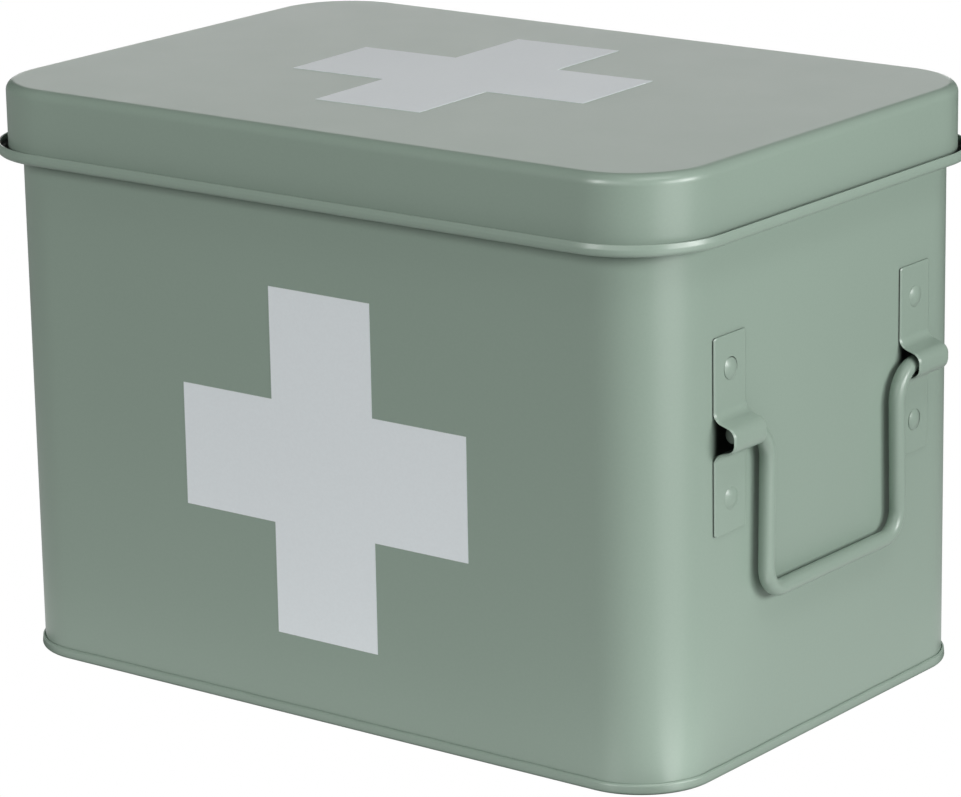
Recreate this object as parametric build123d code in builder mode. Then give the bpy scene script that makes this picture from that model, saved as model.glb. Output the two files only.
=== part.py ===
"""A sheet-steel first-aid tin with a lift-off lid and a hanging bail handle at each end.

Millimetres. +X is the right-hand end, +Y the back and +Z up. The origin is under the
middle of the body, on the surface that the tin stands on.
"""
import os

from build123d import *

# --- the tin as a whole ---
body_length = 203.0  # along X, outside of the wall
body_depth = 136.0  # along Y, outside of the wall
total_height = 148.0  # from the table to the top of the closed lid
body_corner_radius = 18.5  # upright corners, outside of the wall

# --- body wall: one strip, wrapped, seamed at the back and curled out at the top ---
wall_sheet = 0.5
rim_curl_radius = 0.45  # inside radius of the curled top edge
rim_lip = 0.8  # straight turned-down end of the curl
lock_seam_width = 6.0
lock_seam_sheets = 2  # extra thicknesses that the folded seam adds inside
lock_seam_notch = 4.0  # the fold is cut away this far from the floor, to leave a thin lap there
seam_line_width = 0.4  # fine joint line that shows outside
seam_line_depth = 0.2

# --- base: pressed pan folded round the foot of the wall ---
base_sheet = 0.6
base_seam_height = 3.0
base_seam_proud = 0.8
base_seam_round = 0.7  # rounding of the fold's outer lower edge
base_seam_ease = 0.25  # rounding of the fold's outer upper edge
floor_below_seam = 0.2  # the floor's upper face lies this far below the top of the seam

# --- lid ---
lid_sheet = 0.5
lid_height = 18.4  # top of the lid to the underside of its curl
lid_clearance = 1.3  # between the wall's curled rim and the inside of the lid, all round
lid_seat_gap = 0.3  # paint and unevenness between the lid and the rim that it rests on
lid_lie_left = 0.6  # the loose lid lies this far to the left within its clearance
lid_edge_radius = 2.6  # rounded edge between the lid's top and its skirt, outside
lid_curl_radius = 1.15  # inside radius of the curl round the skirt's lower edge
lid_curl_lip = 1.35  # straight turned-up end of the curl

# --- printed crosses ---
cross_bar = 31.0
cross_arm = 28.1
print_thickness = 0.1
front_cross_height = 64.3  # middle of the front cross above the table
front_cross_offset = 3.1  # to the right of the middle of the front
lid_cross_offset_x = -4.3  # from the middle of the lid
lid_cross_offset_y = 3.1
lid_cross_turn = 2.6  # degrees, anticlockwise from above

# --- bail handles ---
rod_diameter = 4.0
rod_end_chamfer = 0.4
rod_end_setback = 3.7  # the rod stops this far short of the strap's outer edge
rod_end_rise = 0.4  # above the middle of the arches; the arms slope up to their ends
handle_span = 57.6  # between the middles of the two legs, at the hand bar
handle_top_span = 55.8  # the same, where the arms turn out into the straps
handle_top_fall = 0.5  # below the middle of the arches, at the same corners
handle_drop = 41.4  # middle of the arches to the middle of the hand bar
handle_bar_bend = 6.3  # bend radius to the middle of the rod, at the hand bar
handle_arm_bend = 8.2  # the same, where the arms turn out
handle_wall_gap = 0.95  # between the wall and the rod that hangs against it

# --- straps that hold the handles ---
strap_sheet = 0.6
strap_width = 13.3
strap_height = 47.6
strap_spacing = 79.7  # between the middles of the two straps on one end
strap_corner_radius = 0.8
arch_height = 82.9  # middle of the arches above the table
arch_clearance = 0.85  # between the rod and the inside of the arch's crown
arch_crown_spread = 0.7  # the crown's corners stand this far above and below the rod
arch_foot_spread = 2.6  # and the corners of the arch's feet this far
arch_crown_radius = 2.9  # outside radii
arch_foot_radius = 2.6

# --- rivets ---
rivet_shank_diameter = 3.0
rivet_hole_clearance = 0.05  # radial
rivet_head_diameter = 5.4
rivet_head_height = 1.0
rivet_set_diameter = 4.6  # the end that is set over inside the wall
rivet_set_height = 0.8
rivet_spacing = 31.2  # upper to lower rivet of one strap

# --- sizes that follow ---
end_wall = body_length / 2
front_wall = -body_depth / 2
back_wall = body_depth / 2
floor_top = base_seam_height - floor_below_seam
rim_reach = 2 * rim_curl_radius + wall_sheet  # how far the rim's curl stands out
rim_middle = total_height - lid_sheet - lid_seat_gap - rim_curl_radius - wall_sheet
wall_drop = rim_middle - base_sheet  # the wall stands in the fold of the base
lid_reach = rim_reach + lid_clearance + lid_sheet  # body wall to the outside of the skirt
lid_length = body_length + 2 * lid_reach
lid_depth = body_depth + 2 * lid_reach
lid_corner_radius = body_corner_radius + lid_reach
curl_middle = total_height - lid_height + lid_curl_radius + lid_sheet
rod_radius = rod_diameter / 2
rod_reach = handle_wall_gap + rod_radius  # wall to the middle of the hanging rod
arch_reach = rod_reach + rod_radius + arch_clearance + strap_sheet
arch_crown_half = rod_radius + arch_crown_spread
arch_foot_half = rod_radius + arch_foot_spread
strap_middle = strap_spacing / 2
rod_end = strap_middle + strap_width / 2 - rod_end_setback
shank_radius = rivet_shank_diameter / 2

os.makedirs("parts", exist_ok=True)


def save(piece, name):
    """Label a finished piece and write it."""
    piece.part.label = name
    export_step(piece.part, f"parts/{name}.step")


def plan_line(plane, length, depth, radius):
    """Closed line round a rounded rectangle on a level plane."""
    with BuildSketch(plane) as plan:
        RectangleRounded(length, depth, radius)
    return plan.sketch.face().outer_wire()


def section_plane(line):
    """Upright plane across the start of a plan line: its x points out and its y up."""
    along = line % 0
    return Plane(origin=line @ 0, x_dir=along.cross(Vector(0, 0, 1)), z_dir=-along)


def end_plane(end):
    """Plane on an end wall at the height of the arches: x goes across, y up and z outwards."""
    return Plane(origin=(end * end_wall, 0, arch_height), x_dir=(0, end, 0), z_dir=(end, 0, 0))


def cut_plane(end, across, height):
    """Upright plane square to an end wall: x = 0 is the wall's face, and x points outwards."""
    return Plane(origin=(end * end_wall, across, height), x_dir=(end, 0, 0), z_dir=(0, -end, 0))


# --- body wall ---
# Its section is carried round the plan: x = 0 is the outside of the wall, and y = 0 the
# middle of the curl at the rim.
wall_line = plan_line(Plane.XY.offset(rim_middle), body_length, body_depth, body_corner_radius)
with BuildPart() as body_wall:
    with BuildSketch(section_plane(wall_line)):
        with BuildLine():
            inner_face = Line((-wall_sheet, -wall_drop), (-wall_sheet, 0))
            over = RadiusArc(inner_face @ 1, (rim_reach, 0), rim_curl_radius + wall_sheet)
            lip = Polyline(
                over @ 1,
                (rim_reach, -rim_lip),
                (2 * rim_curl_radius, -rim_lip),
                (2 * rim_curl_radius, 0),
            )
            under = RadiusArc(lip @ 1, (0, 0), -rim_curl_radius)
            Polyline(under @ 1, (0, -wall_drop), inner_face @ 0)
        make_face()
    sweep(path=wall_line)
    # Lock seam: the folded thicknesses stand inside, and a fine joint line shows outside.
    with Locations((0, back_wall - wall_sheet, floor_top + lock_seam_notch)):
        Box(
            lock_seam_width,
            lock_seam_sheets * wall_sheet,
            rim_middle - rim_lip - floor_top - lock_seam_notch,
            align=(Align.CENTER, Align.MAX, Align.MIN),
        )
    with Locations((lock_seam_width / 2, back_wall - seam_line_depth, base_seam_height)):
        Box(
            seam_line_width,
            wall_sheet,
            rim_middle - rim_lip - base_seam_height,
            align=(Align.CENTER, Align.MIN, Align.MIN),
            mode=Mode.SUBTRACT,
        )
    for end in (1, -1):
        with Locations(end_plane(end)):
            with GridLocations(2 * strap_middle, rivet_spacing, 2, 2):
                Hole(shank_radius + rivet_hole_clearance, depth=2 * wall_sheet)
save(body_wall, "body_wall")

# --- base pan ---
# The fold's section: x = 0 is the outside of the wall, and y = 0 the table. Its inner leg
# stands inside the wall, and its outer leg is the pressed-together seam.
inner_leg = wall_sheet + base_sheet
base_line = plan_line(Plane.XY, body_length, body_depth, body_corner_radius)
with BuildPart() as base_pan:
    with BuildSketch(section_plane(base_line)) as fold:
        with BuildLine():
            Polyline(
                (-wall_sheet, floor_top),
                (-wall_sheet, base_sheet),
                (0, base_sheet),
                (0, base_seam_height),
                (base_seam_proud, base_seam_height),
                (base_seam_proud, 0),
                (-inner_leg, 0),
                (-inner_leg, floor_top),
                close=True,
            )
        make_face()
        outer_corners = fold.vertices().group_by(Axis.X)[-1].sort_by(Axis.Y)
        fillet(outer_corners[0], base_seam_round)
        fillet(outer_corners[-1], base_seam_ease)
    sweep(path=base_line)
    with BuildSketch(Plane.XY.offset(floor_top - base_sheet)):
        RectangleRounded(
            body_length - 2 * inner_leg,
            body_depth - 2 * inner_leg,
            body_corner_radius - inner_leg,
        )
    extrude(amount=base_sheet)
save(base_pan, "base_pan")

# --- lid ---
# The skirt's section: x = 0 is the outside of the skirt, and y = 0 the middle of its curl.
skirt_top = total_height - curl_middle
lid_plane = Plane((-lid_lie_left, 0, curl_middle))
lid_line = plan_line(lid_plane, lid_length, lid_depth, lid_corner_radius)
with BuildPart() as lid:
    with BuildSketch(section_plane(lid_line)):
        with BuildLine():
            bend = RadiusArc(
                (-lid_edge_radius, skirt_top - lid_sheet),
                (-lid_sheet, skirt_top - lid_edge_radius),
                lid_edge_radius - lid_sheet,
            )
            inner_face = Line(bend @ 1, (-lid_sheet, 0))
            curl = RadiusArc(
                inner_face @ 1,
                (2 * lid_curl_radius + lid_sheet, 0),
                -(lid_curl_radius + lid_sheet),
            )
            lip = Polyline(
                curl @ 1,
                (2 * lid_curl_radius + lid_sheet, lid_curl_lip),
                (2 * lid_curl_radius, lid_curl_lip),
                (2 * lid_curl_radius, 0),
            )
            inner_curl = RadiusArc(lip @ 1, (0, 0), lid_curl_radius)
            outer_face = Line(inner_curl @ 1, (0, skirt_top - lid_edge_radius))
            outer_bend = RadiusArc(
                outer_face @ 1,
                (-lid_edge_radius, skirt_top),
                -lid_edge_radius,
            )
            Line(outer_bend @ 1, bend @ 0)
        make_face()
    sweep(path=lid_line)
    with BuildSketch(lid_plane.offset(skirt_top - lid_sheet)):
        RectangleRounded(
            lid_length - 2 * lid_edge_radius,
            lid_depth - 2 * lid_edge_radius,
            lid_corner_radius - lid_edge_radius,
        )
    extrude(amount=lid_sheet)
save(lid, "lid")


# --- printed crosses ---
def build_cross(plane):
    """Equal-armed cross, printed on the surface that the plane lies on."""
    with BuildPart() as cross:
        with BuildSketch(plane):
            Rectangle(cross_bar, cross_bar + 2 * cross_arm)
            Rectangle(cross_bar + 2 * cross_arm, cross_bar)
        extrude(amount=print_thickness)
    return cross


front_cross_middle = (front_cross_offset, front_wall, front_cross_height)
lid_cross_middle = (lid_cross_offset_x - lid_lie_left, lid_cross_offset_y, total_height)
save(build_cross(Plane(front_cross_middle, x_dir=(1, 0, 0), z_dir=(0, -1, 0))), "front_cross_print")
lid_cross_plane = Plane(lid_cross_middle).rotated((0, 0, lid_cross_turn))
save(build_cross(lid_cross_plane), "lid_cross_print")


# --- straps that hold the handles ---
def build_strap(end, row):
    """Pressed strap with an arch over the rod; row is 1 at the back and -1 at the front."""
    with BuildPart() as strap:
        with BuildSketch(cut_plane(end, row * strap_middle, arch_height)):
            with BuildLine():
                outer_face = FilletPolyline(
                    (strap_sheet, -strap_height / 2),
                    (strap_sheet, -arch_foot_half),
                    (arch_reach, -arch_crown_half),
                    (arch_reach, arch_crown_half),
                    (strap_sheet, arch_foot_half),
                    (strap_sheet, strap_height / 2),
                    radius=(arch_foot_radius, arch_crown_radius, arch_crown_radius, arch_foot_radius),
                )
                offset(outer_face, amount=strap_sheet, side=Side.LEFT)
            make_face()
        extrude(amount=strap_width / 2, both=True)
        end_edges = strap.edges().filter_by(Axis.X).group_by(Axis.Z)
        fillet(end_edges[0] + end_edges[-1], strap_corner_radius)
        with Locations(end_plane(end)):
            with Locations((end * row * strap_middle, 0)):
                with GridLocations(0, rivet_spacing, 1, 2):
                    Hole(shank_radius + rivet_hole_clearance, depth=2 * strap_sheet)
    return strap


# --- rivets ---
def build_rivet(end, row, level):
    """Domed rivet through strap and wall, set over inside; level is 1 above the arch."""
    height = arch_height + level * rivet_spacing / 2
    head_radius = rivet_head_diameter / 2
    head_dome = (head_radius**2 + rivet_head_height**2) / (2 * rivet_head_height)
    set_radius = rivet_set_diameter / 2
    set_dome = (set_radius**2 + rivet_set_height**2) / (2 * rivet_set_height)
    with BuildPart() as rivet:
        with BuildSketch(cut_plane(end, row * strap_middle, height)):
            with BuildLine():
                head = RadiusArc(
                    (strap_sheet + rivet_head_height, 0),
                    (strap_sheet, head_radius),
                    -head_dome,
                )
                shank = Polyline(
                    head @ 1,
                    (strap_sheet, shank_radius),
                    (-wall_sheet, shank_radius),
                    (-wall_sheet, set_radius),
                )
                tail = RadiusArc(shank @ 1, (-wall_sheet - rivet_set_height, 0), -set_dome)
                Line(tail @ 1, head @ 0)
            make_face()
        revolve(axis=Axis((end * end_wall, row * strap_middle, height), (end, 0, 0)))
    return rivet


# --- bail handles ---
def build_handle(end):
    """Bent rod that hangs down against the wall, its ends turned out into the arches."""
    with BuildPart() as handle:
        with BuildLine(end_plane(end).offset(rod_reach)) as route:
            FilletPolyline(
                (-rod_end, rod_end_rise),
                (-handle_top_span / 2, -handle_top_fall),
                (-handle_span / 2, -handle_drop),
                (handle_span / 2, -handle_drop),
                (handle_top_span / 2, -handle_top_fall),
                (rod_end, rod_end_rise),
                radius=(handle_arm_bend, handle_bar_bend, handle_bar_bend, handle_arm_bend),
            )
        with BuildSketch(Plane(origin=route.line @ 0, z_dir=route.line % 0)):
            Circle(rod_radius)
        sweep(path=route.line)
        rod_faces = handle.faces().sort_by(Axis.Y)
        chamfer(rod_faces[0].edges() + rod_faces[-1].edges(), rod_end_chamfer)
    return handle


for end, side in ((1, "right"), (-1, "left")):
    save(build_handle(end), f"{side}_handle")
    for row, place in ((-1, "front"), (1, "rear")):
        save(build_strap(end, row), f"{side}_{place}_strap")
        for level, seat in ((1, "upper"), (-1, "lower")):
            save(build_rivet(end, row, level), f"{side}_{place}_{seat}_rivet")
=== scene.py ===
import math

import bpy
import numpy as np
from mathutils import Matrix, Vector


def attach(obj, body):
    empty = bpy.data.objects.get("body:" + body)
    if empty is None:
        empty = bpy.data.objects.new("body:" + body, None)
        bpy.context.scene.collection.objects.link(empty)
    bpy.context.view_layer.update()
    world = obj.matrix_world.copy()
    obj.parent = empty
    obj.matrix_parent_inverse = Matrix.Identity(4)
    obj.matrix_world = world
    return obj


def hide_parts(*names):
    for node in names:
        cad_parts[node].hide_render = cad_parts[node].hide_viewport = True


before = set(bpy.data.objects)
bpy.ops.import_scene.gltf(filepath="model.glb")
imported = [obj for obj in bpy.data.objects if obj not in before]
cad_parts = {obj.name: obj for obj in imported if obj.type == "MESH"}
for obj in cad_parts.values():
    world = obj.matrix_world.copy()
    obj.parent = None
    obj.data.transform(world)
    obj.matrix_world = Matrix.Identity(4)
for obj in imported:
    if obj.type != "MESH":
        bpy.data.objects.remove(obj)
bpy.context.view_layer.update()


# --- Body wall ---------------------------------------------------------------
# A strip of half-millimetre tinned steel, rolled round four upright corners and
# hooked together in a lock seam at the back. Its top edge is curled outwards to
# make it safe and stiff, and the whole wall is stove-enamelled sage green.
MM = 0.001
BODY_LENGTH, BODY_DEPTH, CORNER_RADIUS = 203.0, 136.0, 18.5
SHEET = 0.5


def plan_walk(length, depth, radius, middle=(0, 0), corner_steps=36, side_steps=26, close_to=()):
    """One walk round a rounded rectangle, anticlockwise from the front of its right side.

    A point of it is the corner's centre plus the radius times the outward direction. Along a
    side the centre moves and the direction stands still; round a corner the direction turns
    a quarter circle and the centre stands still. Points along a side crowd towards its ends,
    and close_to adds more of them about places on the back, in millimetres from its middle.
    Returns the centres, the outward directions and the distance walked to each point."""
    a, b = length / 2 - radius, depth / 2 - radius
    knots = np.arange(9)
    centre_x = np.array([a, a, a, -a, -a, -a, -a, a, a]) + middle[0]
    centre_y = np.array([-b, b, b, b, b, -b, -b, -b, -b]) + middle[1]
    angle = np.radians([0, 0, 90, 90, 180, 180, 270, 270, 360])
    side = (1 - np.cos(np.pi * np.arange(side_steps) / side_steps)) / 2
    corner = np.arange(corner_steps) / corner_steps
    back = np.append(side, [0.5 - place / (2 * a) for place in close_to])
    steps = [side, corner, np.unique(back), corner, side, corner, side, corner]
    t = np.concatenate([k + s for k, s in enumerate(steps)])
    centre = np.stack([np.interp(t, knots, centre_x), np.interp(t, knots, centre_y)], 1)
    turn = np.interp(t, knots, angle)
    out = np.stack([np.cos(turn), np.sin(turn)], 1)
    xy = centre + radius * out
    walked = np.append(0, np.cumsum(np.linalg.norm(np.diff(xy, axis=0), axis=1)))
    return centre, out, radius, walked


def bend_line(corners, radii, steps=8, shoulder=0.12, closed=False):
    """A line through the corners, each rounded to its own radius.

    The arc of a corner starts radius * tan(half the turn) before it, on the incoming straight,
    and swings from the incoming direction into the outgoing one. One more point, a shoulder's
    width before and after each arc, keeps the shading of the straights flat."""
    corners = np.asarray(corners, float)
    inner = range(len(corners)) if closed else range(1, len(corners) - 1)
    line = [] if closed else [corners[:1]]
    for k, radius in zip(inner, radii):
        here, before = corners[k], corners[k - 1]
        after = corners[(k + 1) % len(corners)]
        u, v = here - before, after - here
        u, v = u / np.linalg.norm(u), v / np.linalg.norm(v)
        turn = math.acos(np.clip(u @ v, -1, 1))
        side = (v - u * math.cos(turn)) / math.sin(turn)
        start = here - u * radius * math.tan(turn / 2)
        swing = np.linspace(0, turn, steps + 1)[:, None]
        arc = start + radius * (np.sin(swing) * u + (1 - np.cos(swing)) * side)
        rest = min(shoulder, 0.3 * radius)
        line.append(np.vstack([arc[:1] - rest * u, arc, arc[-1:] + rest * v]))
    if not closed:
        line.append(corners[-1:])
    return np.vstack(line)


def fill_in(line, gap, closed=False):
    """The same line with more points, evenly spaced on every straight longer than the gap."""
    ends = np.vstack([line, line[:1]]) if closed else line
    walked = np.append(0, np.cumsum(np.linalg.norm(np.diff(ends, axis=0), axis=1)))
    parts = np.maximum(1, np.ceil(np.diff(walked) / gap)).astype(int)
    first = np.repeat(walked[:-1], parts)
    share = np.concatenate([np.arange(n) / n for n in parts])
    at = first + share * np.repeat(np.diff(walked), parts)
    if not closed:
        at = np.append(at, walked[-1])
    return np.stack([np.interp(at, walked, ends[:, k]) for k in range(ends.shape[1])], 1)


def carry_round(profile, walk):
    """The surface that a section makes when it is carried round a walk.

    The section's first number is how far a point stands outside the walk's line, and its
    second the point's height. Row i, column j of the result is section point i at step j."""
    centre, out, radius, _ = walk
    reach = radius + profile[:, 0, None, None]
    level = centre[None] + reach * out[None]
    height = np.broadcast_to(profile[:, 1, None], level.shape[:2])
    return np.dstack([level, height])


def grid_faces(rows, columns, join_rows, join_columns):
    """Corner numbers of the four-sided faces between the rows and columns of a grid of points.
    A joined direction has one more band of faces, from its last line back to its first."""
    i = np.arange(rows if join_rows else rows - 1)[:, None]
    j = np.arange(columns if join_columns else columns - 1)[None]
    up, on = (i + 1) % rows, (j + 1) % columns
    corners = [i * columns + j, i * columns + on, up * columns + on, up * columns + j]
    return np.stack([np.broadcast_to(c, (i.size, j.size)) for c in corners], 2).reshape(-1, 4)


def make_piece(name, grid, material, body, stands_for, join_rows=False, poles=None):
    """A closed surface from a grid of points in millimetres whose columns go round.

    Where poles are given, they are the two points that close the first and the last row with
    a fan of triangles; otherwise join_rows closes the rows on themselves."""
    rows, columns = grid.shape[:2]
    points = grid.reshape(-1, 3)
    faces = grid_faces(rows, columns, join_rows, True).tolist()
    if poles is not None:
        points = np.vstack([points, poles])
        j = np.arange(columns)
        on = (j + 1) % columns
        first, last = rows * columns, rows * columns + 1
        top_row = (rows - 1) * columns
        faces += np.stack([np.full(columns, first), on, j], 1).tolist()
        faces += np.stack([np.full(columns, last), top_row + j, top_row + on], 1).tolist()
    mesh = bpy.data.meshes.new(name)
    mesh.from_pydata((points * MM).tolist(), [], faces)
    mesh.shade_smooth()
    mesh.materials.append(material)
    piece = bpy.data.objects.new(name, mesh)
    bpy.context.scene.collection.objects.link(piece)
    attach(piece, body)
    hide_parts(stands_for)


def maths_in(tree):
    """Two ways to add maths to a node tree: calc puts in one operation on sockets or numbers,
    and rise a smooth step from nothing, where the source is at the first number, up to an
    amount, where it is at the second."""
    nodes, link = tree.nodes, tree.links.new

    def calc(kind, a, b=0.0):
        n = nodes.new("ShaderNodeMath")
        n.operation = kind
        for value, socket in ((a, n.inputs[0]), (b, n.inputs[1])):
            if isinstance(value, float):
                socket.default_value = value
            else:
                link(value, socket)
        return n.outputs[0]

    def rise(source, none, full, amount=1.0):
        n = nodes.new("ShaderNodeMapRange")
        n.interpolation_type = "SMOOTHSTEP"
        n.inputs["From Min"].default_value, n.inputs["From Max"].default_value = none, full
        n.inputs["To Max"].default_value = amount
        link(source, n.inputs["Value"])
        return n.outputs["Result"]

    return calc, rise


def enamel_group():
    """Stoved enamel on sheet steel, as colour, roughness and normal.

    The colour drifts a little over the sheet and is very finely mottled. Where a mask asks, it
    is painted near black as shade in recesses. The gloss varies softly, and the normal leans
    with the sheet's slow waves and the film's orange peel."""
    group = bpy.data.node_groups.new("stoved_enamel", "ShaderNodeTree")
    face = group.interface
    for name, kind, value in (
        ("Colour", "NodeSocketColor", (0.3, 0.4, 0.32, 1)),
        ("Gloss centre", "NodeSocketFloat", 0.4),
        ("Wave depth", "NodeSocketFloat", 0.0),
        ("Peel depth", "NodeSocketFloat", 0.0),
        ("Painted shade", "NodeSocketFloat", 0.0),
    ):
        face.new_socket(name, in_out="INPUT", socket_type=kind).default_value = value
    for name, kind in (
        ("Colour", "NodeSocketColor"),
        ("Roughness", "NodeSocketFloat"),
        ("Normal", "NodeSocketVector"),
    ):
        face.new_socket(name, in_out="OUTPUT", socket_type=kind)
    nodes, link = group.nodes, group.links.new
    given, result = nodes.new("NodeGroupInput"), nodes.new("NodeGroupOutput")
    place = nodes.new("ShaderNodeTexCoord").outputs["Object"]
    calc, _ = maths_in(group)

    def noise(scale, detail):
        n = nodes.new("ShaderNodeTexNoise")
        n.inputs["Scale"].default_value = scale
        n.inputs["Detail"].default_value = detail
        link(place, n.inputs["Vector"])
        return n.outputs["Fac"]

    def spread(source, low, high):
        n = nodes.new("ShaderNodeMapRange")
        n.inputs["From Min"].default_value, n.inputs["From Max"].default_value = 0.3, 0.7
        n.inputs["To Min"].default_value, n.inputs["To Max"].default_value = low, high
        link(source, n.inputs["Value"])
        return n.outputs["Result"]

    # Near black, for painted shade where little light reaches; not the colour of bare steel.
    painted_shade_black = (0.012, 0.013, 0.012, 1)
    drift = spread(noise(scale=9, detail=2), 0.985, 1.015)
    mottle = spread(noise(scale=1400, detail=1), 0.99, 1.01)
    shade = calc("MULTIPLY", drift, mottle)
    tint = nodes.new("ShaderNodeHueSaturation")
    link(given.outputs["Colour"], tint.inputs["Color"])
    link(shade, tint.inputs["Value"])
    painted_shade_mix = nodes.new("ShaderNodeMix")
    painted_shade_mix.data_type = "RGBA"
    painted_shade_mix.inputs["B"].default_value = painted_shade_black
    link(given.outputs["Painted shade"], painted_shade_mix.inputs["Factor"])
    link(tint.outputs["Color"], painted_shade_mix.inputs["A"])
    link(painted_shade_mix.outputs["Result"], result.inputs["Colour"])
    patches = spread(noise(scale=60, detail=3), -0.01, 0.01)
    gloss = calc("ADD", given.outputs["Gloss centre"], patches)
    link(gloss, result.inputs["Roughness"])
    waves, peel = nodes.new("ShaderNodeBump"), nodes.new("ShaderNodeBump")
    link(noise(scale=16, detail=0), waves.inputs["Height"])
    link(given.outputs["Wave depth"], waves.inputs["Distance"])
    link(noise(scale=1100, detail=1), peel.inputs["Height"])
    link(given.outputs["Peel depth"], peel.inputs["Distance"])
    link(waves.outputs["Normal"], peel.inputs["Normal"])
    link(peel.outputs["Normal"], result.inputs["Normal"])
    return group


ENAMEL = enamel_group()


def enamel(name, colour, gloss, waves, peel):
    """A painted finish: the enamel group's colour, roughness and normal on one glossy shader.
    The depths of the sheet's waves and of the film's orange peel are in metres."""
    material = bpy.data.materials.new(name)
    material.use_nodes = True
    nodes, link = material.node_tree.nodes, material.node_tree.links.new
    film = nodes.new("ShaderNodeGroup")
    film.name, film.node_tree = "Film", ENAMEL
    film.inputs["Colour"].default_value = (*colour, 1)
    film.inputs["Gloss centre"].default_value = gloss
    film.inputs["Wave depth"].default_value = waves
    film.inputs["Peel depth"].default_value = peel
    paint = nodes["Principled BSDF"]
    paint.inputs["IOR"].default_value = 1.5
    link(film.outputs["Colour"], paint.inputs["Base Color"])
    link(film.outputs["Roughness"], paint.inputs["Roughness"])
    link(film.outputs["Normal"], paint.inputs["Normal"])
    return material


SAGE, SATIN = (0.274, 0.353, 0.295), 0.30
wall_paint = enamel("wall_enamel", SAGE, SATIN, waves=0.00001, peel=0.000003)
WALL_FOOT = 0.6
RIM_REACH, RIM_LIP, RIM_TOP = 1.4, 145.45, 147.2  # how far out it curls, and its two heights
SEAM_HALF, SEAM_FOOT, SEAM_TOP = 3.0, 3.0, 144.75
lock_seam_edges = (-3.2, -3.0, -2.8, 2.6, 2.8, 2.9, 3.0, 3.1, 3.2, 3.4)
wall_walk = plan_walk(BODY_LENGTH, BODY_DEPTH, CORNER_RADIUS, close_to=lock_seam_edges)
wall_section = bend_line(
    [
        (0, WALL_FOOT), (0, RIM_TOP - SHEET), (RIM_REACH - SHEET, RIM_TOP - SHEET),
        (RIM_REACH - SHEET, RIM_LIP), (RIM_REACH, RIM_LIP), (RIM_REACH, RIM_TOP),
        (-SHEET, RIM_TOP), (-SHEET, WALL_FOOT),
    ],
    [0.05, 0.33, 0.33, 0.12, 0.12, 0.8, 0.8, 0.05],
    closed=True,
)
wall_section = fill_in(wall_section, gap=6.0, closed=True)
wall = carry_round(wall_section, wall_walk)
# The lock seam: outside, one fine line where the hooked edges meet; inside, the folded
# thicknesses stand up between the floor and the rim, notched away at the foot.
LINE_DEPTH, LINE_WIDTH = 0.2, 0.12
FOLD_DEPTH, NOTCH_TOP, NOTCH_SLOPE = 1.0, 6.4, 0.5
across, height = wall[..., 0], wall[..., 2]
on_back = wall[..., 1] > BODY_DEPTH / 2 - SEAM_HALF
outside = wall_section[:, :1] > -SHEET / 2
straight = (height > SEAM_FOOT) & (height < SEAM_TOP)
groove = LINE_DEPTH * np.exp(-(((across - SEAM_HALF) / LINE_WIDTH) ** 2))
wall[..., 1] -= np.where(on_back & outside & straight, groove, 0)
folded = np.abs(across) < SEAM_HALF + 0.05
fold = FOLD_DEPTH * folded * np.clip((height - NOTCH_TOP) / NOTCH_SLOPE, 0, 1)
wall[..., 1] -= np.where(on_back & ~outside & straight, fold, 0)
make_piece("tin_wall", wall, wall_paint, "body", "body_wall", join_rows=True)


# --- Base ----------------------------------------------------------------------
# A pan pressed from 0.6 mm steel. Its edge is folded round the foot of the wall and
# rolled tight, which leaves a narrow bead all round, a little uneven from the rollers.
PAN_SHEET, FLOOR_TOP, FLOOR_EDGE = 0.6, 2.8, -5.0
FLOOR_UNDER = FLOOR_TOP - PAN_SHEET
TIGHT, BEAD_REACH = 0.02, 0.8  # the fold's gap to the wall, and how far out the bead stands


def close_flat(ring, middle, height, shares):
    """Rings that shrink towards the middle of a flat panel, from the given ring inwards.
    Each is the ring scaled about the middle, so the panel has no seam and ends in a pole."""
    scaled = middle + np.asarray(shares)[:, None, None] * (ring[None, :, :2] - middle)
    level = np.full(scaled.shape[:2] + (1,), height)
    return np.dstack([scaled, level])


PANEL_SHARES = (0.03, 0.1, 0.2, 0.32, 0.44, 0.56, 0.68, 0.79, 0.88, 0.94, 0.98)
base_walk = plan_walk(BODY_LENGTH, BODY_DEPTH, CORNER_RADIUS, side_steps=60)
base_section = bend_line(
    [
        (FLOOR_EDGE, FLOOR_TOP), (-SHEET - TIGHT, FLOOR_TOP), (-SHEET - TIGHT, PAN_SHEET),
        (TIGHT, PAN_SHEET), (TIGHT, 2.25), (0.3, 2.75), (BEAD_REACH, 2.3), (BEAD_REACH, 0),
        (-SHEET - PAN_SHEET, 0), (-SHEET - PAN_SHEET, FLOOR_UNDER), (FLOOR_EDGE, FLOOR_UNDER),
    ],
    [0.05, 0.05, 0.05, 0.03, 0.15, 0.6, 0.7, 0.6, 0.25],
)
base = carry_round(base_section, base_walk)
# The rollers' marks are two sine waves along the walk, the first of them drifting. They move
# the bead's top up and down and in and out, and fade away down its side and at the wall.
ROLLED, SET_BACK = 0.05, 0.06
walked = base_walk[3][None]
bead = np.clip(base_section[:, :1] / 0.5, 0, 1) * np.clip((base_section[:, 1:] - 0.8) / 1.2, 0, 1)
uneven = ROLLED * np.sin(walked / 2.1 + 2 * np.sin(walked / 17)) + ROLLED * np.sin(walked / 5.3 + 1)
base[..., 2] += bead * uneven
base[..., :2] -= (bead * (SET_BACK + 0.6 * uneven))[..., None] * base_walk[1][None]
origin = np.zeros(2)
floor_rings = close_flat(base[0], origin, FLOOR_TOP, PANEL_SHARES)
under_rings = close_flat(base[-1], origin, FLOOR_UNDER, PANEL_SHARES[::-1])
pan = np.concatenate([floor_rings, base, under_rings])[::-1]
pan_poles = [(*origin, FLOOR_UNDER), (*origin, FLOOR_TOP)]
make_piece("tin_base", pan, wall_paint, "body", "base_pan", poles=pan_poles)


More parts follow.
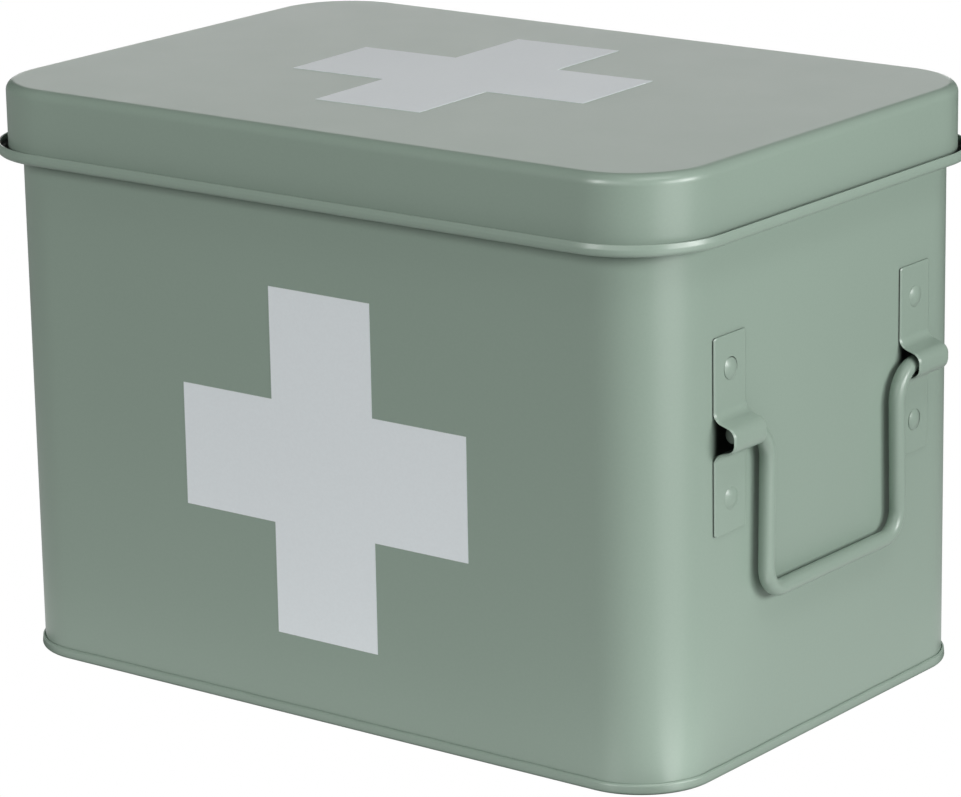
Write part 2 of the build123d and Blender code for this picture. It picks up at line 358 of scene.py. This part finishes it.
# --- Lid -------------------------------------------------------------------------
# Pressed from one sheet, with a rounded edge and a plain skirt whose lower edge is
# curled outwards into an open channel. It lifts straight off the wall's curled rim.
TOP, TOP_EDGE = 148.0, -6.0
LID_LENGTH, LID_DEPTH, LID_CORNER, LID_SHIFT = 209.4, 142.4, 21.7, -0.6
CURL, CURL_REACH = 131.25, 2.8
CURL_FOOT = CURL - 1.65


def place_in(group, calc):
    """The place on the tin, as x, y and z in millimetres."""
    parted = group.nodes.new("ShaderNodeSeparateXYZ")
    place = group.nodes.new("ShaderNodeTexCoord").outputs["Object"]
    group.links.new(place, parted.inputs[0])
    return [calc("DIVIDE", parted.outputs[axis], MM) for axis in "XYZ"]


def curl_shade_group():
    """Painted shade in the lid's curl: a mask over the channel's bottom, up to below its lips.

    The distance out from the skirt is the one from a rounded rectangle: the corner's own, less
    its radius, past the straight sides. Inside the channel means within a radius of a slot
    that stands on the middles of the channel's two lower bends."""
    group = bpy.data.node_groups.new("painted_shade_in_the_curl", "ShaderNodeTree")
    group.interface.new_socket("Painted shade", in_out="OUTPUT", socket_type="NodeSocketFloat")
    calc, rise = maths_in(group)
    x, y, z = place_in(group, calc)
    slot_out, slot_half, slot_foot, slot_radius = 1.15, 0.2, CURL - 0.2, 1.2

    def past(value, limit):
        return calc("MAXIMUM", calc("SUBTRACT", value, limit), 0.0)

    def diagonal(a, b):
        return calc("SQRT", calc("ADD", calc("MULTIPLY", a, a), calc("MULTIPLY", b, b)))

    along = past(calc("ABSOLUTE", calc("SUBTRACT", x, LID_SHIFT)), LID_LENGTH / 2 - LID_CORNER)
    aside = past(calc("ABSOLUTE", y), LID_DEPTH / 2 - LID_CORNER)
    out = calc("SUBTRACT", diagonal(along, aside), LID_CORNER)
    across = past(calc("ABSOLUTE", calc("SUBTRACT", out, slot_out)), slot_half)
    under = calc("MINIMUM", calc("SUBTRACT", z, slot_foot), 0.0)
    between = calc("LESS_THAN", diagonal(across, under), slot_radius)
    deep = rise(z, CURL + 0.55, CURL - 0.6)
    result = group.nodes.new("NodeGroupOutput")
    group.links.new(calc("MULTIPLY", between, deep), result.inputs["Painted shade"])
    return group


def paint_shade_on(material, group, **shares):
    """Puts a mask of painted shade on an enamel, each place by its share: near black where shade
    falls.
    """
    nodes, link = material.node_tree.nodes, material.node_tree.links.new
    places = nodes.new("ShaderNodeGroup")
    places.node_tree = group
    for place, share in shares.items():
        places.inputs[place].default_value = share
    link(places.outputs["Painted shade"], nodes["Film"].inputs["Painted shade"])


lid_paint = enamel("lid_enamel", SAGE, SATIN, waves=0.0, peel=0.000003)
# Painted shade: the bottom of the curl's channel is painted near black.
paint_shade_on(lid_paint, curl_shade_group())
lid_middle = np.array([LID_SHIFT, 0.0])
lid_walk = plan_walk(LID_LENGTH, LID_DEPTH, LID_CORNER, middle=lid_middle)
lid_section = bend_line(
    [
        (TOP_EDGE, TOP), (0, TOP), (0, CURL_FOOT + SHEET), (CURL_REACH - SHEET, CURL_FOOT + SHEET),
        (CURL_REACH - SHEET, CURL + 0.3), (1.99, CURL + 1.24), (2.47, CURL + 1.35),
        (CURL_REACH, CURL + 0.1), (CURL_REACH, CURL_FOOT), (-SHEET, CURL_FOOT),
        (-SHEET, TOP - SHEET), (TOP_EDGE, TOP - SHEET),
    ],
    [2.6, 1.0, 0.95, 0.8, 0.15, 0.15, 1.8, 1.15, 1.4, 2.1],
    steps=12,
)
lid = carry_round(fill_in(lid_section, gap=5.0), lid_walk)
top_rings = close_flat(lid[0], lid_middle, TOP, PANEL_SHARES)
inner_rings = close_flat(lid[-1], lid_middle, TOP - SHEET, PANEL_SHARES[::-1])
cap = np.concatenate([top_rings, lid, inner_rings])[::-1]
cap_poles = [(*lid_middle, TOP - SHEET), (*lid_middle, TOP)]
make_piece("tin_lid", cap, lid_paint, "lid", "lid", poles=cap_poles)


# --- Printed crosses ---------------------------------------------------------------
# Pale ink, screen-printed over the enamel in one thick coat: a cross on the front of
# the body and one on the lid, which lies a little askew.
cross_ink = enamel("screen_ink", (0.78, 0.83, 0.85), gloss=0.42, waves=0.00004, peel=0.000002)
for node in ("front_cross_print", "lid_cross_print"):
    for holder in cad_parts[node].material_slots:
        holder.material = cross_ink


# --- Handle straps -------------------------------------------------------------------
# Four straps pressed from 0.6 mm steel. Each lies on an end wall and arches over one end of
# a handle's rod. The shears that cut them left their long edges bevelled above and lifted below.
END_WALL = BODY_LENGTH / 2
STRAP_SHEET, STRAP_WIDTH, STRAP_HEIGHT, STRAP_MIDDLE = 0.6, 13.3, 47.6, 39.85
ARCH_HEIGHT, ARCH_REACH = 82.9, 6.4
ARCH_FOOT, ARCH_CROWN = 4.6, 2.7  # half heights of the arch, at the strap's flat and its crown
ARCH_SLOPE = (ARCH_FOOT - ARCH_CROWN) / (ARCH_REACH - STRAP_SHEET)
FOOT_BEND, CROWN_BEND = 2.6, 2.9  # outside radii


def painted_shade_group():
    """Painted shade: the inside of the straps' four arches, and the underside of a strap's edges,
    are painted near black. Each is a mask from the place on the tin, in millimetres.

    Inside an arch means closer to its middle line than the sheet's outer face at that reach,
    by at least a quarter of a millimetre, and well in from the strap's two edges. It stops
    short of the crown and within the thickness of the wall. An underside is the quarter of a
    millimetre of the strap's thickness next to the wall."""
    group = bpy.data.node_groups.new("painted_shade_in_the_arches", "ShaderNodeTree")
    for kind, name in (("INPUT", "Arches"), ("INPUT", "Undersides"), ("OUTPUT", "Painted shade")):
        group.interface.new_socket(name, in_out=kind, socket_type="NodeSocketFloat")
    nodes, link = group.nodes, group.links.new
    given, result = nodes.new("NodeGroupInput"), nodes.new("NodeGroupOutput")
    calc, rise = maths_in(group)
    x, y, z = place_in(group, calc)
    reach = calc("SUBTRACT", calc("ABSOLUTE", x), END_WALL)
    at_wall = ARCH_FOOT + ARCH_SLOPE * STRAP_SHEET
    face = calc("SUBTRACT", at_wall, calc("MULTIPLY", reach, ARCH_SLOPE))
    within = calc("SUBTRACT", face, calc("ABSOLUTE", calc("SUBTRACT", z, ARCH_HEIGHT)))
    aside = calc("ABSOLUTE", calc("SUBTRACT", calc("ABSOLUTE", y), STRAP_MIDDLE))
    well_in = rise(aside, STRAP_WIDTH / 2 + 0.5, STRAP_WIDTH / 2 - 2.2)
    arch = calc("MULTIPLY", rise(within, 0.25, 0.5), well_in)
    short = rise(reach, ARCH_REACH - 1.4, ARCH_REACH - 1.9)
    depth = calc("MULTIPLY", rise(reach, -0.35, -0.15), short)
    below = calc("MULTIPLY", rise(reach, 0.42, 0.25), calc("GREATER_THAN", reach, -0.2))
    inside = calc("MULTIPLY", calc("MULTIPLY", arch, depth), given.outputs["Arches"])
    below = calc("MULTIPLY", below, given.outputs["Undersides"])
    link(calc("MAXIMUM", inside, below), result.inputs["Painted shade"])
    return group


PAINTED_SHADE = painted_shade_group()
fitting_paint = enamel("fitting_enamel", SAGE, SATIN, waves=0.0, peel=0.000004)
# Painted shade: near black inside the arches and under the straps' edges, on the straps and on the
# wall.
paint_shade_on(fitting_paint, PAINTED_SHADE, Arches=1.0, Undersides=1.0)
paint_shade_on(wall_paint, PAINTED_SHADE, Arches=1.0)  # on the wall, inside the arches


def strap_line(depth):
    """The strap's sheet in side view, at a depth below its outer face, as reach and height.

    Upwards it is a flat, a sloping flank, the crown, a flank and a flat. Below the outer face
    every corner lies deeper by the depth, and nearer to the middle by what keeps the flank's
    thickness: the depth times the slope's secant less its tangent."""
    drawn_in = depth * (math.hypot(1, ARCH_SLOPE) - ARCH_SLOPE)
    flat, crown = STRAP_SHEET - depth, ARCH_REACH - depth
    upper = [(crown, ARCH_CROWN - drawn_in), (flat, ARCH_FOOT - drawn_in), (flat, STRAP_HEIGHT / 2)]
    lower = [(reach, -height) for reach, height in upper[::-1]]
    bends = [FOOT_BEND + depth, CROWN_BEND - depth]
    return bend_line(lower + upper, bends + bends[::-1], steps=14)


def strap_grid(end, row):
    """A strap as its section carried up its side view.

    A section point lies across the strap and at a share of its thickness, and its place is
    between the side view's outer and inner lines at that share. Towards the strap's two ends
    the section narrows by the plan's corner rounding and thins by the rounding of the edge."""
    half, corner, edge = STRAP_WIDTH / 2, 0.8, 0.22
    bevel, fall, undercut, lift = 0.4, 0.22, 0.6, 0.3
    line = fill_in(np.hstack([strap_line(0.0), strap_line(STRAP_SHEET)]), gap=1.6)
    steps = corner * (1 - np.cos(np.linspace(0, np.pi / 2, 9)))
    cap = np.repeat(line[-1:], len(steps), 0)
    cap[:, 1::2] = STRAP_HEIGHT / 2 - steps[::-1, None]
    foot = cap[::-1] * (1, -1, 1, -1)
    line = np.vstack([foot, line[np.abs(line[:, 1]) < cap[0, 1] - 0.3], cap])
    from_end = np.append(steps, np.full(len(line) - 2 * len(steps), corner))
    from_end = np.append(from_end, steps[::-1])[:, None]
    narrowed = corner - np.sqrt(corner**2 - (corner - from_end) ** 2)
    thinned = np.sqrt(1 - np.clip(0.95 - from_end / edge, 0, 1) ** 2)
    section = bend_line(
        [
            (undercut - half, 0), (half - undercut, 0), (half, lift), (half, STRAP_SHEET - fall),
            (half - bevel, STRAP_SHEET), (bevel - half, STRAP_SHEET),
            (-half, STRAP_SHEET - fall), (-half, lift),
        ],
        [0.3, 0.3, 0.02, 0.03, 0.15, 0.15, 0.03, 0.02],
        steps=4,
        closed=True,
    )
    across = section[:, 0] - np.sign(section[:, 0]) * narrowed
    share = 0.5 + (section[:, 1] / STRAP_SHEET - 0.5) * thinned
    reach = line[:, :1] + (line[:, 2:3] - line[:, :1]) * share
    height = line[:, 1:2] + (line[:, 3:] - line[:, 1:2]) * share
    y = np.broadcast_to(row * STRAP_MIDDLE + end * across, reach.shape)
    return np.dstack([end * (END_WALL + reach), y, ARCH_HEIGHT + height])


# --- Rivets ---------------------------------------------------------------------------
# Low domed steel rivets, two to a strap, put in from outside and set over inside the wall.
# They were set by hand, so some heads lean a little and show a dark crescent.
RIVET_SPACING = 31.2
HEAD_RADIUS, HEAD_RISE, HEAD_EDGE = 2.7, 0.8, 0.03
SHANK_RADIUS, SET_RADIUS, SET_RISE = 1.5, 2.3, 0.8
LEANS = {  # head's outer face, millimetres outwards per millimetre towards the back and up
    ("front", "upper"): (-0.035, -0.05),
    ("front", "lower"): (0.02, -0.01),
    ("rear", "upper"): (0.01, 0.02),
    ("rear", "lower"): (-0.06, 0.0),
}


def rivet_grid(end, row, level, lean):
    """A rivet turned about its own middle line: a low dome that rolls in under its edge, the
    shank, and a flatter dome inside. The section's numbers are reach outwards and radius."""
    swing = np.linspace(0.06, 1, 12)[:, None] * np.pi / 2
    rising = HEAD_EDGE + (HEAD_RISE - HEAD_EDGE) * np.cos(swing) ** 2
    dome = np.hstack([STRAP_SHEET + rising, HEAD_RADIUS * np.sin(swing)])
    shank = [
        dome[-1], (STRAP_SHEET, HEAD_RADIUS), (STRAP_SHEET, SHANK_RADIUS),
        (-SHEET, SHANK_RADIUS), (-SHEET, SET_RADIUS),
    ]
    under = bend_line(shank, [0.01, 0.02, 0.02], steps=3, shoulder=0.01)
    swing = np.linspace(0.1, 0.95, 8)[:, None] * np.pi / 2
    inside = np.hstack([-SHEET - SET_RISE * np.sin(swing), SET_RADIUS * np.cos(swing)])
    section = np.vstack([dome, under[1:], inside])
    turn = np.linspace(0, 2 * np.pi, 40, endpoint=False)
    back = section[:, 1:] * np.cos(turn) * end
    up = section[:, 1:] * np.sin(turn)
    outside = section[:, :1] > STRAP_SHEET
    reach = section[:, :1] + np.where(outside, lean[0] * back + lean[1] * up, 0)
    middle = np.array([0, row * STRAP_MIDDLE, ARCH_HEIGHT + level * RIVET_SPACING / 2])
    tips = (-SHEET - SET_RISE, STRAP_SHEET + HEAD_RISE)
    tips = [middle + (end * (END_WALL + tip), 0, 0) for tip in tips]
    return (np.dstack([end * (END_WALL + reach), back, up]) + middle * (0, 1, 1))[::-1], tips


# --- Bail handles ------------------------------------------------------------------------
# Each is one bent 4 mm steel rod that hangs in the arches of its two straps and swings up
# for carrying. Its arms slope up to their cut ends, which show inside the arches.
ROD, ROD_REACH = 2.0, 2.95  # radius, and wall to the middle of the rod
ARM_END, ARM_RISE = 42.8, 0.4
TOP_SPAN, TOP_FALL, ARM_BEND = 55.8, 0.5, 8.2
BAR_SPAN, BAR_FALL, BAR_BEND = 57.6, 41.4, 6.3
END_EASE = 0.4
rod_paint = enamel("rod_enamel", SAGE, SATIN, waves=0.0, peel=0.000004)
# Painted shade: the rod is painted darker where it lies inside the arches.
paint_shade_on(rod_paint, PAINTED_SHADE, Arches=0.7)


def handle_grid(end):
    """The rod's round section carried along its bent middle line, with eased ends.
    The line lies in a plane beside the wall, so the section's sideways axis stays in it."""
    half = [(BAR_SPAN / 2, -BAR_FALL), (TOP_SPAN / 2, -TOP_FALL), (ARM_END, ARM_RISE)]
    corners = [(-across, height) for across, height in half[::-1]] + half
    bends = [ARM_BEND, BAR_BEND, BAR_BEND, ARM_BEND]
    line = fill_in(bend_line(corners, bends, steps=20, shoulder=0.5), gap=2.5)
    along = np.gradient(line, axis=0)
    along /= np.linalg.norm(along, axis=1)[:, None]
    side = np.stack([-along[:, 1], along[:, 0]], 1)
    ease = END_EASE * (1 - np.cos(np.linspace(0, np.pi / 2, 5)))[:, None]
    start, finish = line[0] + ease * along[0], line[-1] - ease[::-1] * along[-1]
    drawn = END_EASE - np.sqrt(END_EASE**2 - (END_EASE - ease[:, 0]) ** 2)
    radius = ROD - np.concatenate([drawn, np.zeros(len(line) - 2), drawn[::-1]])[:, None]
    line = np.vstack([start, line[1:-1], finish])
    first, last = np.repeat(side[:1], len(ease), 0), np.repeat(side[-1:], len(ease), 0)
    side = np.vstack([first, side[1:-1], last])
    turn = np.linspace(0, 2 * np.pi, 36, endpoint=False)
    y = end * (line[:, :1] + side[:, :1] * radius * np.cos(turn))
    z = ARCH_HEIGHT + line[:, 1:] + side[:, 1:] * radius * np.cos(turn)
    x = end * (END_WALL + ROD_REACH + radius * np.sin(turn))
    tip_x, tip_z = end * (END_WALL + ROD_REACH), ARCH_HEIGHT + ARM_RISE
    return np.dstack([x, y, z]), [(tip_x, -end * ARM_END, tip_z), (tip_x, end * ARM_END, tip_z)]


for end, side in ((1, "right"), (-1, "left")):
    grid, tips = handle_grid(end)
    handle = f"{side}_handle"
    make_piece(f"{side}_bail", grid, rod_paint, handle, handle, poles=tips)
    for row, place in ((-1, "front"), (1, "rear")):
        grid = strap_grid(end, row)
        tips = [grid[0].mean(0), grid[-1].mean(0)]
        strap = f"{side}_{place}"
        make_piece(f"{strap}_pressed_strap", grid, fitting_paint, "body",
                   f"{strap}_strap", poles=tips)
        for level, seat in ((1, "upper"), (-1, "lower")):
            grid, tips = rivet_grid(end, row, level, LEANS[place, seat])
            make_piece(f"{strap}_{seat}_domed_rivet", grid, fitting_paint, "body",
                       f"{strap}_{seat}_rivet", poles=tips)


# --- Studio ---------------------------------------------------------------------------------
# A white floor and soft panels all round and overhead. The camera sees the floor as plain
# white; for the tin the floor glows with painted light, as if the panels lit it, brightest
# close about the tin and in two streaks towards the right and the front, and dim far off.
FLOOR_HALF = 6.0
POOL_GLOW, FOOT_GLOW, LEFT_GLOW = 0.36, 0.22, 0.20
POOL_REACH, FOOT_REACH, LEFT_REACH, SHADE_REACH = 0.36, 0.07, 0.5, 0.004

floor_mesh = bpy.data.meshes.new("studio_floor")
floor_corners = FLOOR_HALF * np.array([(-1, -1, 0), (1, -1, 0), (1, 1, 0), (-1, 1, 0)])
floor_mesh.from_pydata(floor_corners.tolist(), [], [(0, 1, 2, 3)])
floor_paint = bpy.data.materials.new("floor_white")
floor_paint.use_nodes = True
floor_mesh.materials.append(floor_paint)
studio_floor = bpy.data.objects.new("studio_floor", floor_mesh)
bpy.context.scene.collection.objects.link(studio_floor)

nodes, link = floor_paint.node_tree.nodes, floor_paint.node_tree.links.new
nodes.clear()
calc, rise = maths_in(floor_paint.node_tree)
floor_place = nodes.new("ShaderNodeTexCoord").outputs["Object"]


def vector_node(kind, source, value=(0, 0, 0), output="Vector"):
    """A vector operation between the source and a fixed value."""
    n = nodes.new("ShaderNodeVectorMath")
    n.operation = kind
    link(source, n.inputs[0])
    n.inputs[1].default_value = value
    return n.outputs[output]


beside = vector_node("ABSOLUTE", floor_place)
beside = vector_node("SUBTRACT", beside, (BODY_LENGTH / 2 * MM, BODY_DEPTH / 2 * MM, 0))
from_tin = vector_node("LENGTH", vector_node("MAXIMUM", beside), output="Value")
pool = rise(from_tin, POOL_REACH, 0.0, POOL_GLOW)
pool = calc("ADD", pool, rise(from_tin, FOOT_REACH, 0.0, FOOT_GLOW))
# Painted shadow: the floor's glow fades to nothing within a few millimetres of the tin's foot.
shade = rise(from_tin, 0.0, SHADE_REACH)
leftwards = vector_node("DOT_PRODUCT", floor_place, (-1, 0, 0), "Value")
left_side = rise(leftwards, 0.0, LEFT_REACH, LEFT_GLOW)


def streak(foot, azimuth, spread, near, far):
    """A wedge of light on the floor that opens from its foot along an azimuth and fades out at
    the spread either side of it. It has the near amount by the foot, down to the far amount
    at 80 mm, and grows by 1.3 times the far amount between 220 and 500 mm away."""
    from_foot = vector_node("SUBTRACT", floor_place, (*foot, 0))
    line = (math.cos(math.radians(azimuth)), math.sin(math.radians(azimuth)), 0)
    along = vector_node("DOT_PRODUCT", vector_node("NORMALIZE", from_foot), line, "Value")
    edge, core = math.cos(math.radians(spread + 12)), math.cos(math.radians(spread - 8))
    away = vector_node("LENGTH", from_foot, output="Value")
    amount = calc("ADD", rise(away, 0.08, 0.015, near - far), rise(away, 0.22, 0.50, 1.3 * far))
    return calc("MULTIPLY", rise(along, edge, core), calc("ADD", amount, far))


# The streaks start at the foot of the upright corner nearest the camera.
right_streak = streak((0.0985, -0.0596), azimuth=-9, spread=17, near=2.4, far=0.78)
front_streak = streak((0.0880, -0.0673), azimuth=-94, spread=10, near=0.6, far=0.0)
# Painted light: for the tin the floor glows, though it is no lamp.
glow = nodes.new("ShaderNodeEmission")
streaks = calc("ADD", right_streak, front_streak)
all_light = calc("ADD", calc("ADD", pool, left_side), streaks)
link(calc("MULTIPLY", all_light, shade), glow.inputs["Strength"])
plain_white = nodes.new("ShaderNodeEmission")
floor_mix = nodes.new("ShaderNodeMixShader")
link(nodes.new("ShaderNodeLightPath").outputs["Is Camera Ray"], floor_mix.inputs[0])
link(glow.outputs[0], floor_mix.inputs[1])
link(plain_white.outputs[0], floor_mix.inputs[2])
link(floor_mix.outputs[0], nodes.new("ShaderNodeOutputMaterial").inputs["Surface"])

TIN_MIDDLE = Vector((0, 0, 0.07))


def soft_panel(name, azimuth, low, high, distance, width, radiance, mirrored=True):
    """An upright soft panel between two heights, turned to face the tin's middle. Its azimuth
    is counted from the right-hand end towards the back, in degrees, and its power is pi times
    its area times its radiance. One that isn't mirrored lights the tin without a highlight."""
    lamp = bpy.data.lights.new(name, "AREA")
    lamp.shape, lamp.size, lamp.size_y = "RECTANGLE", width, high - low
    lamp.energy = math.pi * width * (high - low) * radiance
    panel = bpy.data.objects.new(name, lamp)
    bpy.context.scene.collection.objects.link(panel)
    around = math.radians(azimuth)
    panel.location = (distance * math.cos(around), distance * math.sin(around), (low + high) / 2)
    panel.rotation_euler = (panel.location - TIN_MIDDLE).to_track_quat("Z", "Y").to_euler()
    panel.visible_camera = False
    panel.visible_glossy = mirrored


# Each one's azimuth, its lower and upper edge, distance, width, and radiance.
soft_panel("right_panel", 9, 0.22, 0.62, 1.2, 0.42, 15.2)
soft_panel("corner_panel", -12, 0.22, 0.62, 1.2, 0.30, 8.9)
soft_panel("front_panel", -97, 0.35, 0.90, 1.2, 0.13, 21.5)
soft_panel("front_fill", -84, 0.50, 1.60, 2.2, 2.0, 2.1)
soft_panel("left_panel", 165, 0.03, 0.25, 1.2, 0.60, 9.0, mirrored=False)
soft_panel("rear_panel", 100, 0.03, 0.25, 1.2, 0.35, 9.0, mirrored=False)
soft_panel("back_panel", 127.7, 0.02, 0.40, 2.2, 1.2, 2.2)
soft_panel("high_back_panel", 127.7, 0.40, 1.30, 2.2, 1.2, 0.86)
soft_panel("overhead_panel", -20, 1.40, 1.90, 0.9, 1.2, 3.4)

# Beyond the floor there is next to no light, and the camera sees white.
AMBIENT = 0.01
world = bpy.data.worlds.new("studio")
bpy.context.scene.world = world
world.use_nodes = True
nodes, link = world.node_tree.nodes, world.node_tree.links.new
nodes["Background"].inputs["Color"].default_value = (1, 1, 1, 1)
nodes["Background"].inputs["Strength"].default_value = AMBIENT
seen_sky = nodes.new("ShaderNodeBackground")
seen_sky.inputs["Color"].default_value = (1, 1, 1, 1)
sky_mix = nodes.new("ShaderNodeMixShader")
link(nodes.new("ShaderNodeLightPath").outputs["Is Camera Ray"], sky_mix.inputs[0])
link(nodes["Background"].outputs[0], sky_mix.inputs[1])
link(seen_sky.outputs[0], sky_mix.inputs[2])
link(sky_mix.outputs[0], nodes["World Output"].inputs["Surface"])

bpy.context.scene.view_settings.view_transform = "Standard"


# --- Camera -----------------------------------------------------------------------------------
# A camera with a long lens stands off the right front corner, a little above the lid, and
# is turned down to the tin.
CAMERA_PLACE = (0.64814, -0.84131, 0.36330)
HEADING, DOWNWARDS, ROLL = 37.667, 15.640, -1.056  # degrees
lens = bpy.data.cameras.new("camera")
lens.sensor_width, lens.lens = 36.0, 163.87
lens.clip_start, lens.clip_end = 0.05, 50
camera = bpy.data.objects.new("camera", lens)
camera.matrix_world = (
    Matrix.Translation(CAMERA_PLACE)
    @ Matrix.Rotation(math.radians(HEADING), 4, "Z")
    @ Matrix.Rotation(math.radians(90 - DOWNWARDS), 4, "X")
    @ Matrix.Rotation(math.radians(ROLL), 4, "Z")
)
bpy.context.scene.collection.objects.link(camera)
bpy.context.scene.camera = camera
